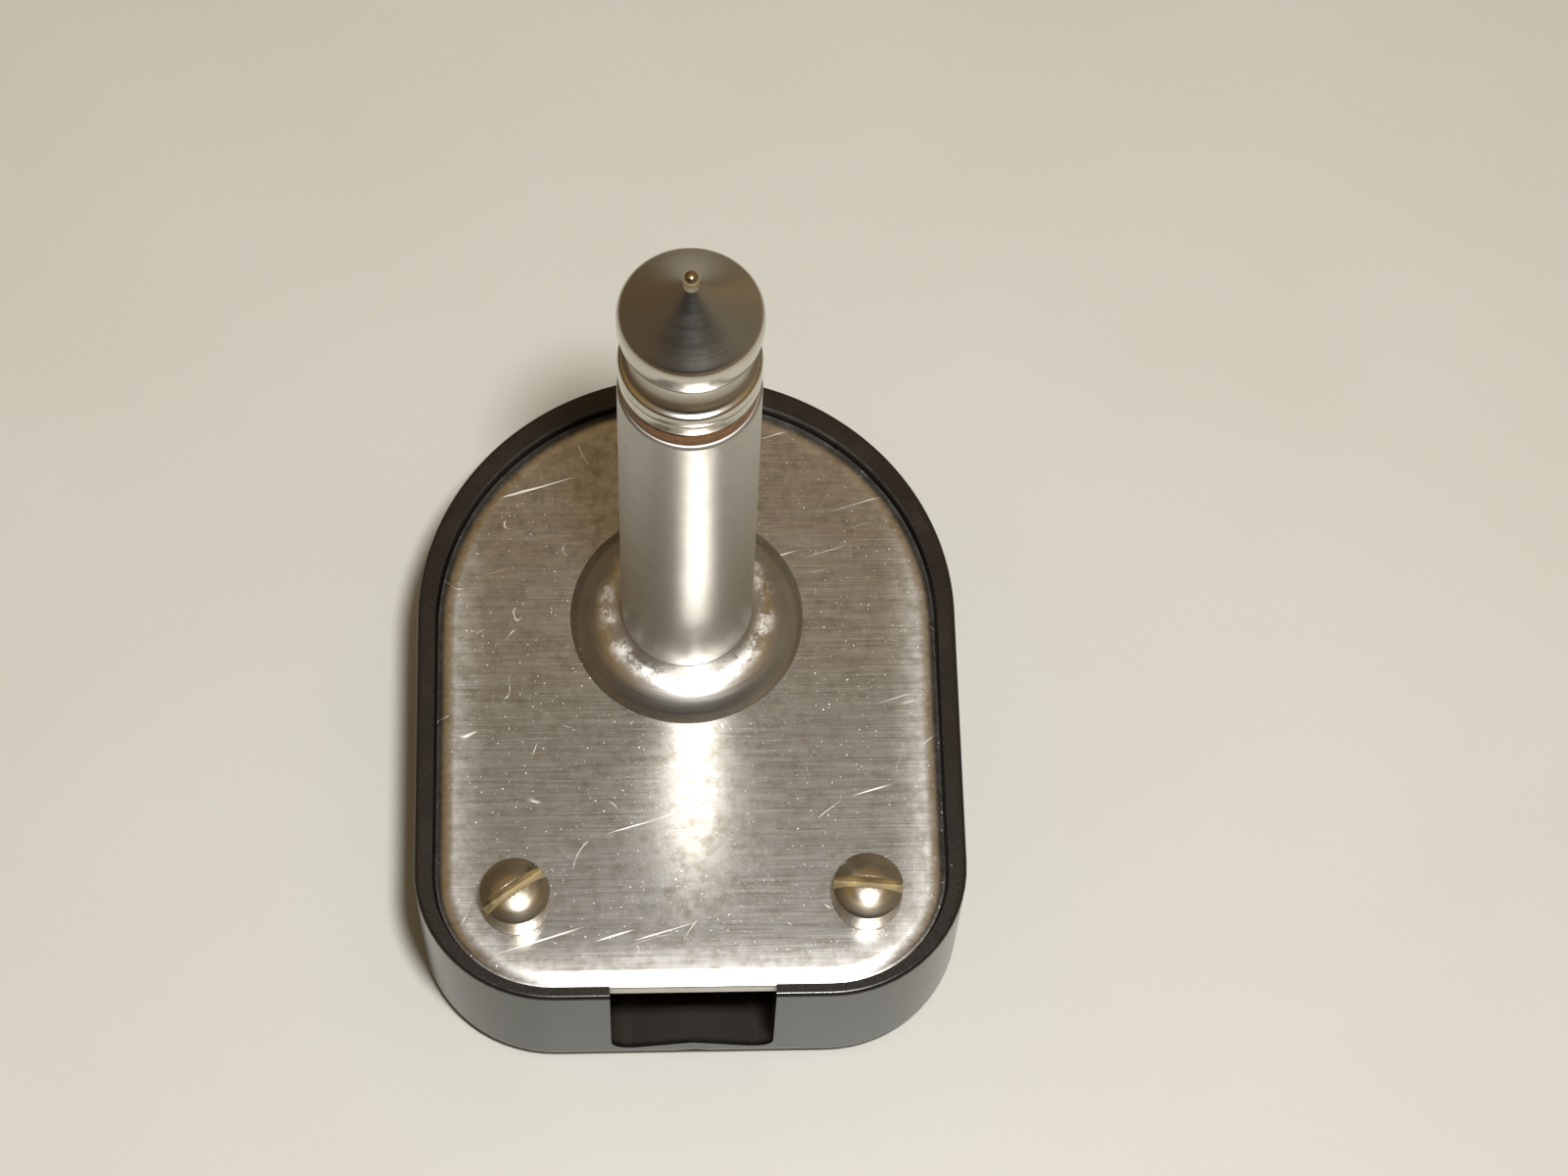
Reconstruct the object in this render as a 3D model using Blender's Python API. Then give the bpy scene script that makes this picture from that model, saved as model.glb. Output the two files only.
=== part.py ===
"""Flat right-angle phone plug: a moulded cup, a metal cover plate that carries the finger, and two screws.

Units are metres. The finger stands along +Z and the cable enters from -Y. The origin is the middle of the
body's box on the surface that the plug lies on.
"""

import math

import bmesh
import bpy
from mathutils import Vector

# Moulded cup
BODY_WIDTH = 0.0262
BODY_LENGTH = 0.0328
BODY_HEIGHT = 0.0086
FRONT_CORNER_RADIUS = 0.0066
WALL = 0.0019
FLOOR = 0.0012
RIM_WALL = 0.00085
UNDER_EDGE_ROUND = 0.0009
RIM_EDGE_ROUND = 0.0002

# Cable notch in the front wall, with its ridged sill and the arch under it
NOTCH_WIDTH = 0.0078
NOTCH_SILL = 0.0013
NOTCH_CORNER_RADIUS = 0.0008
SILL_RIDGE_HEIGHT = 0.0006
SILL_RIDGE_WIDTH = 0.0055
ARCH_HEIGHT = 0.0009
ARCH_WIDTH = 0.0058
ARCH_LENGTH = 0.0035

# Cover plate
PLATE_THICKNESS = 0.0009
PLATE_RECESS = 0.0004
PLATE_FORWARD = 0.00025
PLATE_EDGE_ROUND = 0.0005

# Finger: collar, sleeve and tip, with heights counted from the top of the plate
COLLAR_DIAMETER = 0.0114
COLLAR_HEIGHT = 0.0012
COLLAR_LAND = 0.0006
COLLAR_SWELL = 0.00035
SLEEVE_DIAMETER = 0.00635
SLEEVE_TOP = 0.0243
SLEEVE_WALL = 0.0010
SLEEVE_TOP_CHAMFER = 0.00012
TAIL_STEP = 0.0004
TAIL_FLARE = 0.0004
TAIL_FLARE_THICKNESS = 0.0004
TIP_RING_HEIGHT = 0.00085
TIP_RING_RECESS = 0.00015
TIP_LIP_HEIGHT = 0.00095
TIP_SHOULDER_HEIGHT = 0.0005
TIP_WAIST_HEIGHT = 0.00205
TIP_RIM_HEIGHT = 0.0021
TIP_CONE_HEIGHT = 0.00215
TIP_NIPPLE_HEIGHT = 0.0009
TIP_NIPPLE_DIAMETER = 0.00072
TIP_EDGE_INSET = 0.00016
TIP_GROOVE_INSET = 0.0002
TIP_WAIST_INSET = 0.0009
TIP_CONE_HOLLOW = 0.00012
ROD_DIAMETER = 0.0023

# Inner stack on the finger's tail
TERMINAL_THICKNESS = 0.0005
GROUND_RING_DIAMETER = 0.0084
GROUND_STRIP_WIDTH = 0.0044
CLAMP_GAP = 0.0058
CLAMP_TAB_LENGTH = 0.0025
CLAMP_TAB_DROP = 0.0026
CLAMP_SETBACK = 0.0015
BUSH_FLANGE_DIAMETER = 0.0072
BUSH_FLANGE_THICKNESS = 0.0006
SPIGOT_LENGTH = 0.0016
TIP_TERMINAL_DIAMETER = 0.0050
TIP_TERMINAL_WIDTH = 0.0030
TIP_TERMINAL_REACH = 0.0085
WIRE_HOLE_DIAMETER = 0.0014
WIRE_HOLE_MARGIN = 0.0015
RIVET_WASHER_DIAMETER = 0.0040
RIVET_WASHER_THICKNESS = 0.0003
RIVET_HEAD_DIAMETER = 0.0032
RIVET_HEAD_HEIGHT = 0.0004

# Screws and the threaded inserts that take them
SCREW_SIDE_MARGIN = 0.0048
SCREW_FRONT_MARGIN = 0.0050
SCREW_DIAMETER = 0.0021
SCREW_LENGTH = 0.00476
HEAD_DIAMETER = 0.0033
HEAD_SIDE_HEIGHT = 0.0015
HEAD_DOME_HEIGHT = 0.00055
HEAD_DOME_SWELL = 0.00015
SLOT_WIDTH = 0.00055
SLOT_DEPTH = 0.0009
INSERT_DIAMETER = 0.0034
INSERT_LENGTH = 0.0040
PILOT_ROOM = 0.0003
BOSS_OVERLAP = 0.0003
SLOT_ANGLES = {"screw_left": 34.0, "screw_right": -5.0}

# Clearances and how finely round shapes are drawn
FIT = 0.00005
SEAT = 0.00005
PLATE_CLEARANCE = 0.0001
CUT_PAST = 0.001
FINE_STEPS = 40
SMALL_STEPS = 24
BACK_STEPS = 32
CORNER_STEPS = 9
ROUND_STEPS = 4
ARCH_STEPS = 10
MERGE = 1e-7
SHARP_ANGLE = math.radians(32.0)

# Places that follow from the sizes
FRONT_Y = -BODY_LENGTH / 2
FINGER_Y = BODY_LENGTH / 2 - BODY_WIDTH / 2
PLATE_TOP = BODY_HEIGHT - PLATE_RECESS
PLATE_BOTTOM = PLATE_TOP - PLATE_THICKNESS
LEDGE = PLATE_BOTTOM - SEAT
SCREW_X = BODY_WIDTH / 2 - SCREW_SIDE_MARGIN
SCREW_Y = FRONT_Y + SCREW_FRONT_MARGIN
SCREW_SEAT = PLATE_TOP + SEAT
SCREW_TIP = SCREW_SEAT - SCREW_LENGTH
INSERT_TOP = LEDGE - SEAT - FIT
INSERT_BOTTOM = INSERT_TOP - INSERT_LENGTH
BOSS_RADIUS = max(SCREW_SIDE_MARGIN, SCREW_FRONT_MARGIN) - WALL + BOSS_OVERLAP
SLEEVE_RADIUS = SLEEVE_DIAMETER / 2
BORE_RADIUS = SLEEVE_RADIUS - SLEEVE_WALL
TAIL_RADIUS = SLEEVE_RADIUS - TAIL_STEP
ROD_RADIUS = ROD_DIAMETER / 2
COLLAR_TOP = PLATE_TOP + SEAT + COLLAR_HEIGHT
SLEEVE_SHOULDER = PLATE_TOP + SEAT
SLEEVE_END = PLATE_TOP + SLEEVE_TOP
TIP_FOOT = SLEEVE_END + TIP_RING_HEIGHT + 2 * SEAT

# The stack under the plate, from its first piece down
GROUND_TOP = PLATE_BOTTOM - SEAT
GROUND_BOTTOM = GROUND_TOP - TERMINAL_THICKNESS
FLARE_TOP = GROUND_BOTTOM - SEAT
FLARE_BOTTOM = FLARE_TOP - TAIL_FLARE_THICKNESS
BUSH_TOP = FLARE_BOTTOM - SEAT
BUSH_BOTTOM = BUSH_TOP - BUSH_FLANGE_THICKNESS
TIP_TERMINAL_TOP = BUSH_BOTTOM - SEAT
TIP_TERMINAL_BOTTOM = TIP_TERMINAL_TOP - TERMINAL_THICKNESS
WASHER_TOP = TIP_TERMINAL_BOTTOM - SEAT
WASHER_BOTTOM = WASHER_TOP - RIVET_WASHER_THICKNESS
RIVET_TOP = WASHER_BOTTOM - SEAT
RIVET_BOTTOM = RIVET_TOP - RIVET_HEAD_HEIGHT


def clear_scene():
    """Removes every object that the scene holds."""
    for obj in list(bpy.data.objects):
        bpy.data.objects.remove(obj, do_unlink=True)


def finish(name, colour, roughness, metallic):
    """A plain material with one colour."""
    material = bpy.data.materials.new(name)
    material.use_nodes = True
    shader = material.node_tree.nodes["Principled BSDF"]
    shader.inputs["Base Color"].default_value = (*colour, 1.0)
    shader.inputs["Roughness"].default_value = roughness
    shader.inputs["Metallic"].default_value = metallic
    material.diffuse_color = (*colour, 1.0)
    return material


def add_object(name, bm, material=None, location=(0.0, 0.0, 0.0), parent=None):
    """Turns a bmesh into an object with outward faces, smooth where it is round."""
    bmesh.ops.remove_doubles(bm, verts=bm.verts, dist=MERGE)
    bmesh.ops.recalc_face_normals(bm, faces=bm.faces)
    mesh = bpy.data.meshes.new(name)
    bm.to_mesh(mesh)
    bm.free()
    mesh.shade_smooth()
    mesh.set_sharp_from_angle(angle=SHARP_ANGLE)
    obj = bpy.data.objects.new(name, mesh)
    obj.location = location
    obj.parent = parent
    bpy.context.scene.collection.objects.link(obj)
    if material is not None:
        mesh.materials.append(material)
    return obj


def add_empty(name, location):
    """An empty that pieces are placed by."""
    empty = bpy.data.objects.new(name, None)
    empty.location = location
    bpy.context.scene.collection.objects.link(empty)
    return empty


def arc(centre, radius, start, end, steps):
    """Points on an arc, from one angle to another in degrees."""
    points = []
    for step in range(steps + 1):
        angle = math.radians(start + (end - start) * step / steps)
        points.append((centre[0] + radius * math.cos(angle), centre[1] + radius * math.sin(angle)))
    return points


def bulge(start, end, swell, steps=ROUND_STEPS):
    """Points from start to end that swell out by the given distance, or draw in where it is negative."""
    run = Vector(end) - Vector(start)
    outward = Vector((-run.y, run.x)).normalized()
    points = []
    for step in range(steps + 1):
        share = step / steps
        points.append(tuple(Vector(start) + run * share + outward * swell * 4 * share * (1 - share)))
    return points


def body_outline(inset, forward):
    """The body's outline drawn in and moved forward: a round back, straight sides and round front corners."""
    half = BODY_WIDTH / 2 - inset
    front = FRONT_Y + inset - forward
    corner = FRONT_CORNER_RADIUS - inset
    points = arc((0.0, FINGER_Y - forward), half, 0, 180, BACK_STEPS)
    points += arc((corner - half, front + corner), corner, 180, 270, CORNER_STEPS)
    points += arc((half - corner, front + corner), corner, 270, 360, CORNER_STEPS)
    return points


def lofted(rings):
    """A closed bmesh through rings of points that all have one count, with both ends capped."""
    bm = bmesh.new()
    loops = [[bm.verts.new(point) for point in ring] for ring in rings]
    for lower, upper in zip(loops, loops[1:]):
        for index in range(len(lower)):
            after = (index + 1) % len(lower)
            bm.faces.new((lower[index], lower[after], upper[after], upper[index]))
    bm.faces.new(loops[0])
    bm.faces.new(loops[-1])
    return bm


def swept(profile):
    """A body whose side follows (inset, height, forward) values round the body's outline."""
    return lofted([
        [(x, y, height) for x, y in body_outline(inset, forward)] for inset, height, forward in profile
    ])


def turned(profile, steps, ring=False):
    """A solid of revolution about Z from (radius, height) pairs. A ring's profile is a closed loop."""
    bm = bmesh.new()
    verts = [bm.verts.new((radius, 0.0, height)) for radius, height in profile]
    ends = list(zip(verts, verts[1:])) + ([(verts[-1], verts[0])] if ring else [])
    edges = [bm.edges.new(pair) for pair in ends]
    bmesh.ops.spin(
        bm, geom=verts + edges, axis=(0, 0, 1), angle=2 * math.pi, steps=steps, use_merge=True
    )
    return bm


def disc(radius, bottom, top, steps=SMALL_STEPS):
    """A plain cylinder."""
    return turned([(0.0, top), (radius, top), (radius, bottom), (0.0, bottom)], steps)


def tube(outer, inner, bottom, top, steps=SMALL_STEPS):
    """A plain ring or tube."""
    return turned([(outer, top), (outer, bottom), (inner, bottom), (inner, top)], steps, ring=True)


def slab(low, high):
    """A box between two corners."""
    bm = bmesh.new()
    bmesh.ops.create_cube(bm, size=1.0)
    middle = (Vector(low) + Vector(high)) / 2
    bmesh.ops.scale(bm, vec=Vector(high) - Vector(low), verts=bm.verts)
    bmesh.ops.translate(bm, vec=middle, verts=bm.verts)
    return bm


def along_y(section, front, back):
    """A prism of an (x, z) section between two places along Y."""
    return lofted([[(x, y, z) for x, z in section] for y in (front, back)])


def shape_with(obj, operation, name, bm, location=(0.0, 0.0, 0.0), turn=0.0):
    """Cuts or adds a helper shape on an object."""
    helper = add_object(name, bm, location=location)
    helper.rotation_euler.z = turn
    helper.hide_render = True
    helper.display_type = "WIRE"
    modifier = obj.modifiers.new(name, "BOOLEAN")
    modifier.operation = operation
    modifier.object = helper
    modifier.solver = "EXACT"


def screw_places():
    """Each screw's name with its place on the plate."""
    return (("left", -SCREW_X), ("right", SCREW_X))


def notch_section():
    """The notch seen from the front: round lower corners and a sill that rises to a ridge."""
    half = NOTCH_WIDTH / 2
    radius = NOTCH_CORNER_RADIUS
    top = BODY_HEIGHT + CUT_PAST
    left = arc((radius - half, NOTCH_SILL + radius), radius, 180, 270, ROUND_STEPS)
    right = arc((half - radius, NOTCH_SILL + radius), radius, 270, 360, ROUND_STEPS)
    ridge = [
        (-SILL_RIDGE_WIDTH / 2, NOTCH_SILL),
        (0.0, NOTCH_SILL + SILL_RIDGE_HEIGHT),
        (SILL_RIDGE_WIDTH / 2, NOTCH_SILL),
    ]
    return [(-half, top)] + left + ridge + right + [(half, top)]


def arch_shape():
    """The shallow arch under the sill, highest at the front face and running out under the floor."""
    rings = []
    for y in (FRONT_Y - CUT_PAST, FRONT_Y + ARCH_LENGTH + CUT_PAST):
        peak = ARCH_HEIGHT * (FRONT_Y + ARCH_LENGTH - y) / ARCH_LENGTH
        ring = [(-ARCH_WIDTH / 2, y, -CUT_PAST), (ARCH_WIDTH / 2, y, -CUT_PAST)]
        for step in range(ARCH_STEPS + 1):
            share = step / ARCH_STEPS
            rise = (1 - math.cos(2 * math.pi * share)) / 2
            ring.append((ARCH_WIDTH * (0.5 - share), y, peak * rise - FIT))
        rings.append(ring)
    return lofted(rings)


def build_housing(material):
    """The moulded cup with its rim, plate ledge, screw bosses, cable notch and ridged sill."""
    under = [
        (UNDER_EDGE_ROUND + x, UNDER_EDGE_ROUND + z, 0.0)
        for x, z in arc((0.0, 0.0), UNDER_EDGE_ROUND, 270, 180, ROUND_STEPS)
    ]
    rim = [
        (RIM_EDGE_ROUND + x, BODY_HEIGHT - RIM_EDGE_ROUND + z, 0.0)
        for x, z in arc((0.0, 0.0), RIM_EDGE_ROUND, 180, 90, ROUND_STEPS)
    ]
    recess = [(RIM_WALL, BODY_HEIGHT, PLATE_FORWARD), (RIM_WALL, LEDGE, PLATE_FORWARD)]
    chamber = [(WALL, LEDGE, 0.0), (WALL, FLOOR, 0.0)]
    housing = add_object("housing", swept(under + rim + recess + chamber), material)
    for side, x in screw_places():
        place = (x, SCREW_Y, 0.0)
        pilot_bottom = min(INSERT_BOTTOM, SCREW_TIP) - PILOT_ROOM
        shape_with(housing, "UNION", f"boss_{side}", disc(BOSS_RADIUS, FLOOR / 2, LEDGE - SEAT), place)
        seat = disc(INSERT_DIAMETER / 2 + FIT, INSERT_BOTTOM - FIT, LEDGE + CUT_PAST)
        shape_with(housing, "DIFFERENCE", f"insert_seat_{side}", seat, place)
        pilot = disc(SCREW_DIAMETER / 2 + FIT, pilot_bottom, LEDGE + CUT_PAST)
        shape_with(housing, "DIFFERENCE", f"pilot_{side}", pilot, place)
    notch = along_y(notch_section(), FRONT_Y - CUT_PAST, FRONT_Y + WALL + FIT)
    shape_with(housing, "DIFFERENCE", "cable_notch", notch)
    shape_with(housing, "DIFFERENCE", "sill_arch", arch_shape())


def build_insert(side, x, material):
    """A threaded insert, drawn with a plain bore."""
    ring = tube(INSERT_DIAMETER / 2, SCREW_DIAMETER / 2 + FIT, INSERT_BOTTOM, INSERT_TOP)
    add_object(f"insert_{side}", ring, material, (x, SCREW_Y, 0.0))


def build_plate(material):
    """The cover plate, with a rolled upper edge and its three holes."""
    edge = RIM_WALL + PLATE_CLEARANCE
    rolled = [
        (edge + PLATE_EDGE_ROUND + x, PLATE_TOP - PLATE_EDGE_ROUND + z, PLATE_FORWARD)
        for x, z in arc((0.0, 0.0), PLATE_EDGE_ROUND, 180, 90, ROUND_STEPS)
    ]
    plate = add_object("cover_plate", swept([(edge, PLATE_BOTTOM, PLATE_FORWARD)] + rolled), material)
    low, high = PLATE_BOTTOM - CUT_PAST, PLATE_TOP + CUT_PAST
    shape_with(plate, "DIFFERENCE", "tail_hole", disc(TAIL_RADIUS + FIT, low, high), (0.0, FINGER_Y, 0.0))
    for side, x in screw_places():
        hole = disc(SCREW_DIAMETER / 2 + PLATE_CLEARANCE, low, high)
        shape_with(plate, "DIFFERENCE", f"screw_hole_{side}", hole, (x, SCREW_Y, 0.0))


def build_collar(material, parent):
    """The low domed collar round the finger's root, with a flat land next to the sleeve."""
    land = SLEEVE_RADIUS + COLLAR_LAND
    side = bulge((land, COLLAR_TOP), (COLLAR_DIAMETER / 2, PLATE_TOP + SEAT), COLLAR_SWELL)
    hole = SLEEVE_RADIUS + FIT
    profile = side + [(hole, PLATE_TOP + SEAT), (hole, COLLAR_TOP)]
    add_object("finger_collar", turned(profile, FINE_STEPS, ring=True), material, parent=parent)


def build_sleeve(material, parent):
    """The sleeve contact: a tube whose thinner tail goes through the plate and is flared under it."""
    flare = TAIL_RADIUS + TAIL_FLARE
    profile = [
        (SLEEVE_RADIUS - SLEEVE_TOP_CHAMFER, SLEEVE_END),
        (SLEEVE_RADIUS, SLEEVE_END - SLEEVE_TOP_CHAMFER),
        (SLEEVE_RADIUS, SLEEVE_SHOULDER),
        (TAIL_RADIUS, SLEEVE_SHOULDER),
        (TAIL_RADIUS, FLARE_TOP),
        (flare, FLARE_TOP),
        (flare, FLARE_BOTTOM),
        (BORE_RADIUS, FLARE_BOTTOM),
        (BORE_RADIUS, SLEEVE_END),
    ]
    add_object("sleeve", turned(profile, FINE_STEPS, ring=True), material, parent=parent)


def tip_profile():
    """The tip from its nipple down to its foot, then the rod and its riveted end."""
    nipple = TIP_NIPPLE_DIAMETER / 2
    edge = SLEEVE_RADIUS - TIP_EDGE_INSET
    waist = SLEEVE_RADIUS - TIP_WAIST_INSET
    groove = SLEEVE_RADIUS - TIP_GROOVE_INSET
    lip_top = TIP_FOOT + TIP_LIP_HEIGHT
    shoulder_top = lip_top + TIP_SHOULDER_HEIGHT
    rim_foot = shoulder_top + TIP_WAIST_HEIGHT
    cone_foot = rim_foot + TIP_RIM_HEIGHT
    nipple_foot = cone_foot + TIP_CONE_HEIGHT
    dome_foot = nipple_foot + TIP_NIPPLE_HEIGHT - nipple
    profile = arc((0.0, dome_foot), nipple, 90, 0, ROUND_STEPS)
    profile += bulge((nipple, nipple_foot), (edge, cone_foot), -TIP_CONE_HOLLOW)
    profile += bulge((edge, cone_foot), (groove, rim_foot), TIP_EDGE_INSET)[1:]
    profile += bulge((groove, rim_foot), (groove, shoulder_top), waist - groove, 2 * ROUND_STEPS)[1:]
    profile += bulge((groove, shoulder_top), (groove, lip_top), TIP_EDGE_INSET)[1:]
    profile += bulge((groove, lip_top), (groove, TIP_FOOT), TIP_EDGE_INSET)[1:]
    rivet = RIVET_HEAD_DIAMETER / 2
    profile += [(ROD_RADIUS, TIP_FOOT), (ROD_RADIUS, RIVET_TOP), (rivet, RIVET_TOP)]
    return profile + [(rivet - RIVET_HEAD_HEIGHT / 2, RIVET_BOTTOM), (0.0, RIVET_BOTTOM)]


def build_insulators(material, parent):
    """The ring behind the tip, the tube round the rod and the bush behind the plate."""
    hole = ROD_RADIUS + FIT
    spigot = BORE_RADIUS - FIT
    ring_bottom = SLEEVE_END + SEAT
    ring_top = ring_bottom + TIP_RING_HEIGHT
    ring = SLEEVE_RADIUS - TIP_RING_RECESS
    front_end = ring_bottom - SPIGOT_LENGTH
    profile = [(ring, ring_top), (ring, ring_bottom), (spigot, ring_bottom), (spigot, front_end)]
    profile += [(hole, front_end), (hole, ring_top)]
    add_object("tip_insulator", turned(profile, FINE_STEPS, ring=True), material, parent=parent)
    flange = BUSH_FLANGE_DIAMETER / 2
    rear_end = BUSH_TOP + SPIGOT_LENGTH
    profile = [(spigot, rear_end), (spigot, BUSH_TOP), (flange, BUSH_TOP), (flange, BUSH_BOTTOM)]
    profile += [(hole, BUSH_BOTTOM), (hole, rear_end)]
    add_object("rear_bush", turned(profile, SMALL_STEPS, ring=True), material, parent=parent)
    lining = tube(spigot, hole, rear_end + SEAT, front_end - SEAT)
    add_object("rod_tube", lining, material, parent=parent)


def keyhole(radius, width, reach, bottom, top):
    """A round end about the finger's axis with a strip that reaches towards the cable."""
    half = width / 2
    start = math.degrees(math.asin(half / radius)) - 90
    outline = [(half, -reach)] + arc((0.0, 0.0), radius, start, 180 - start, SMALL_STEPS) + [(-half, -reach)]
    return lofted([[(x, y, z) for x, y in outline] for z in (bottom, top)])


def build_terminals(tip_metal, ground_metal, parent):
    """The tip's solder lug and the sleeve's lug, whose two tabs clamp the cable."""
    axis = (0.0, FINGER_Y, 0.0)
    low, high = TIP_TERMINAL_BOTTOM, TIP_TERMINAL_TOP
    tip_lug = keyhole(TIP_TERMINAL_DIAMETER / 2, TIP_TERMINAL_WIDTH, TIP_TERMINAL_REACH, low, high)
    tip_lug = add_object("tip_terminal", tip_lug, tip_metal, parent=parent)
    rod_hole = disc(ROD_RADIUS + FIT, low - CUT_PAST, high + CUT_PAST)
    shape_with(tip_lug, "DIFFERENCE", "rod_hole", rod_hole, axis)
    wire_y = FINGER_Y - TIP_TERMINAL_REACH + WIRE_HOLE_MARGIN
    wire_hole = disc(WIRE_HOLE_DIAMETER / 2, low - CUT_PAST, high + CUT_PAST)
    shape_with(tip_lug, "DIFFERENCE", "wire_hole", wire_hole, (0.0, wire_y, 0.0))

    clamp_front = FRONT_Y + WALL + CLAMP_SETBACK
    reach = FINGER_Y - clamp_front
    ground = keyhole(GROUND_RING_DIAMETER / 2, GROUND_STRIP_WIDTH, reach, GROUND_BOTTOM, GROUND_TOP)
    ground = add_object("ground_terminal", ground, ground_metal, parent=parent)
    tail_hole = disc(TAIL_RADIUS + FIT, GROUND_BOTTOM - CUT_PAST, GROUND_TOP + CUT_PAST)
    shape_with(ground, "DIFFERENCE", "ground_hole", tail_hole, axis)
    outer = CLAMP_GAP / 2 + TERMINAL_THICKNESS
    bridge = slab((-outer, clamp_front, GROUND_BOTTOM), (outer, clamp_front + CLAMP_TAB_LENGTH, GROUND_TOP))
    shape_with(ground, "UNION", "clamp_bridge", bridge)
    for side, sign in (("left", -1), ("right", 1)):
        inner_x, outer_x = sorted((sign * CLAMP_GAP / 2, sign * outer))
        low_corner = (inner_x, clamp_front, GROUND_BOTTOM - CLAMP_TAB_DROP)
        high_corner = (outer_x, clamp_front + CLAMP_TAB_LENGTH, GROUND_TOP)
        shape_with(ground, "UNION", f"clamp_tab_{side}", slab(low_corner, high_corner))


def build_screw(side, x, material):
    """A slotted screw with a domed cylindrical head, standing on its own axis."""
    head = HEAD_DIAMETER / 2
    shank = SCREW_DIAMETER / 2
    dome = bulge((0.0, HEAD_SIDE_HEIGHT + HEAD_DOME_HEIGHT), (head, HEAD_SIDE_HEIGHT), HEAD_DOME_SWELL)
    profile = dome + [(head, 0.0), (shank, 0.0), (shank, -SCREW_LENGTH), (0.0, -SCREW_LENGTH)]
    name = f"screw_{side}"
    place = (x, SCREW_Y, SCREW_SEAT)
    screw = add_object(name, turned(profile, SMALL_STEPS), material, place)
    top = HEAD_SIDE_HEIGHT + HEAD_DOME_HEIGHT
    low_corner = (-head - FIT, -SLOT_WIDTH / 2, top - SLOT_DEPTH)
    high_corner = (head + FIT, SLOT_WIDTH / 2, top + CUT_PAST)
    slot = slab(low_corner, high_corner)
    shape_with(screw, "DIFFERENCE", f"slot_{side}", slot, place, math.radians(SLOT_ANGLES[name]))


def build():
    """Builds the whole plug."""
    clear_scene()
    moulding = finish("black_moulding", (0.012, 0.011, 0.011), 0.25, 0.0)
    nickel = finish("nickel_plate", (0.66, 0.64, 0.60), 0.28, 1.0)
    bright_nickel = finish("bright_nickel", (0.72, 0.70, 0.66), 0.14, 1.0)
    brown_fibre = finish("brown_fibre", (0.24, 0.10, 0.035), 0.6, 0.0)
    brass = finish("brass", (0.62, 0.45, 0.20), 0.3, 1.0)
    tinned = finish("tinned_brass", (0.62, 0.60, 0.55), 0.35, 1.0)
    screw_metal = finish("worn_screw", (0.58, 0.47, 0.28), 0.25, 1.0)

    build_housing(moulding)
    finger_axis = add_empty("finger_axis", (0.0, FINGER_Y, 0.0))
    build_plate(nickel)
    build_collar(bright_nickel, finger_axis)
    build_sleeve(bright_nickel, finger_axis)
    add_object("tip_rod", turned(tip_profile(), FINE_STEPS), bright_nickel, parent=finger_axis)
    build_insulators(brown_fibre, finger_axis)
    build_terminals(tinned, tinned, finger_axis)
    washer = tube(RIVET_WASHER_DIAMETER / 2, ROD_RADIUS + FIT, WASHER_BOTTOM, WASHER_TOP)
    add_object("rivet_washer", washer, brass, parent=finger_axis)
    for side, x in screw_places():
        build_insert(side, x, brass)
        build_screw(side, x, screw_metal)


build()
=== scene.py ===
"""Looks of a flat right-angle phone plug: moulded cup, nickel cover plate with its finger, and two screws.

Units are metres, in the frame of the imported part: the finger stands along +Z and the cable enters from -Y.
"""

import logging
import math
from dataclasses import dataclass, field, replace
from enum import Enum
from typing import Any, Callable, Iterable

import bmesh
import bpy
from mathutils import Matrix, Vector


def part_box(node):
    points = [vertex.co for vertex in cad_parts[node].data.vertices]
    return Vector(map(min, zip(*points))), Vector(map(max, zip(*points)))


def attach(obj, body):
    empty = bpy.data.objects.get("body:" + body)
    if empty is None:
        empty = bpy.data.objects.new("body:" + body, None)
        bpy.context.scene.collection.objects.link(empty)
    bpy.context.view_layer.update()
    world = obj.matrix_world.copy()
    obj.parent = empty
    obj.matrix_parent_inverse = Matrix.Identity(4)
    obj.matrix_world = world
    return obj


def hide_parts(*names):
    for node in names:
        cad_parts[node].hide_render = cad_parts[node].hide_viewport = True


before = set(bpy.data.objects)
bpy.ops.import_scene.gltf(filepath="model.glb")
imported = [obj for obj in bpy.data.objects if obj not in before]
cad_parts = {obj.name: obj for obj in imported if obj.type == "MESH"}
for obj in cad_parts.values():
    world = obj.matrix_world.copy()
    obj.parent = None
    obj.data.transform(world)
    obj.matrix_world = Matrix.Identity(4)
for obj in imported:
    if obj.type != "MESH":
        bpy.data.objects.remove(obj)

LOG = logging.getLogger("phone_plug")
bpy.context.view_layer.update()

# How finely the shapes are drawn
TURN_STEPS = 96
SCREW_STEPS = 64
BACK_SEGMENTS = 48
CORNER_SEGMENTS = 16
EDGE_SEGMENTS = 6
CURVE_STEPS = 12
EASE_STEPS = 4

# The largest share of a profile's side that the rounding of one corner takes
EASE_SHARE = 0.45

# What counts as one place, as a sharp edge and as a straight line, and how far a cut goes past a piece
MERGE = 1e-7
NEAR = 1e-6
SHARP_ANGLE = math.radians(40.0)
STRAIGHT = math.radians(174.0)
CUT_PAST = 0.002

# Not given by the frame: the gap between pieces that sit on each other, the front corners' radius and the
# inch that a screw's threads are counted on
SEAT_GAP = 0.00005
CORNER_RADIUS = 0.0066
INCH = 0.0254

# Which output of a colour mixing node holds its colour
MIXED = 2

Piece = bpy.types.Object
Material = bpy.types.Material
Point = tuple[float, float]
Profile = list[Point]
Test = Callable[[Vector], bool]
Range = tuple[float, float]
Tree = bpy.types.NodeTree
Socket = bpy.types.NodeSocket
Value = float | Socket
Colour = str | Socket


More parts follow.
